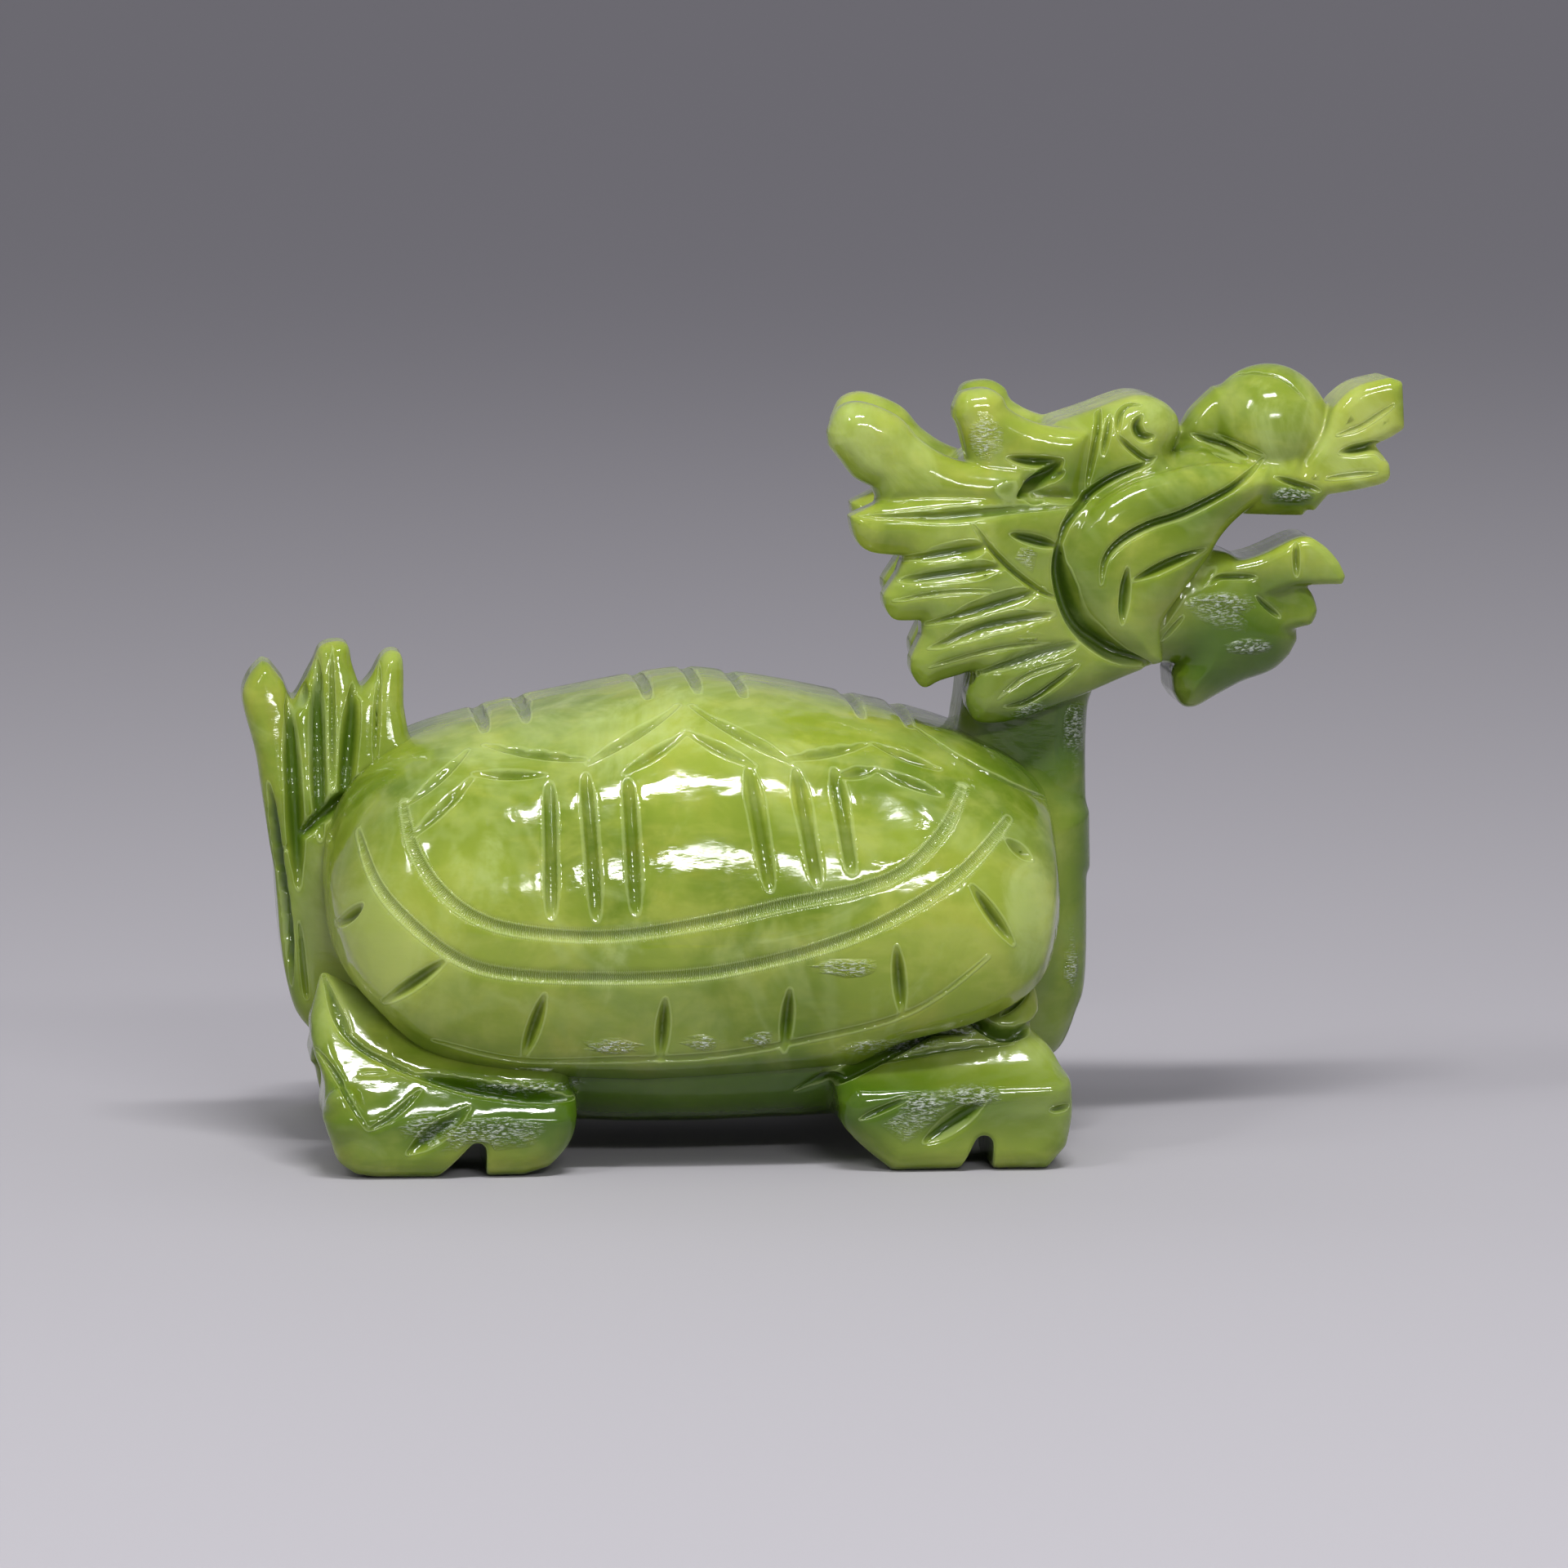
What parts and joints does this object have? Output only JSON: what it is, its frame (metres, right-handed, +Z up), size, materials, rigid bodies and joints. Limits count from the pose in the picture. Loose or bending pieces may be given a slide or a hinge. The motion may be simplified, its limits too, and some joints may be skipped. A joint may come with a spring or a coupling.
{
  "type": "dragon turtle figure",
  "caption": "Carved green stone figure of a turtle with a dragon's head, a domed shell cut with plates and a flame-shaped tail.",
  "frame": {"origin": "on the ground, under the middle of the figure's length and width", "axes": "+X from the tail to the dragon's head, +Y to the figure's left, +Z up"},
  "size_m": [0.085, 0.04, 0.0566],
  "materials": {
    "jade": "polished yellow-green stone, slightly see-through at thin edges"
  },
  "bodies": {
    "root": {"dragon_turtle": "jade"}
  },
  "joints": []
}
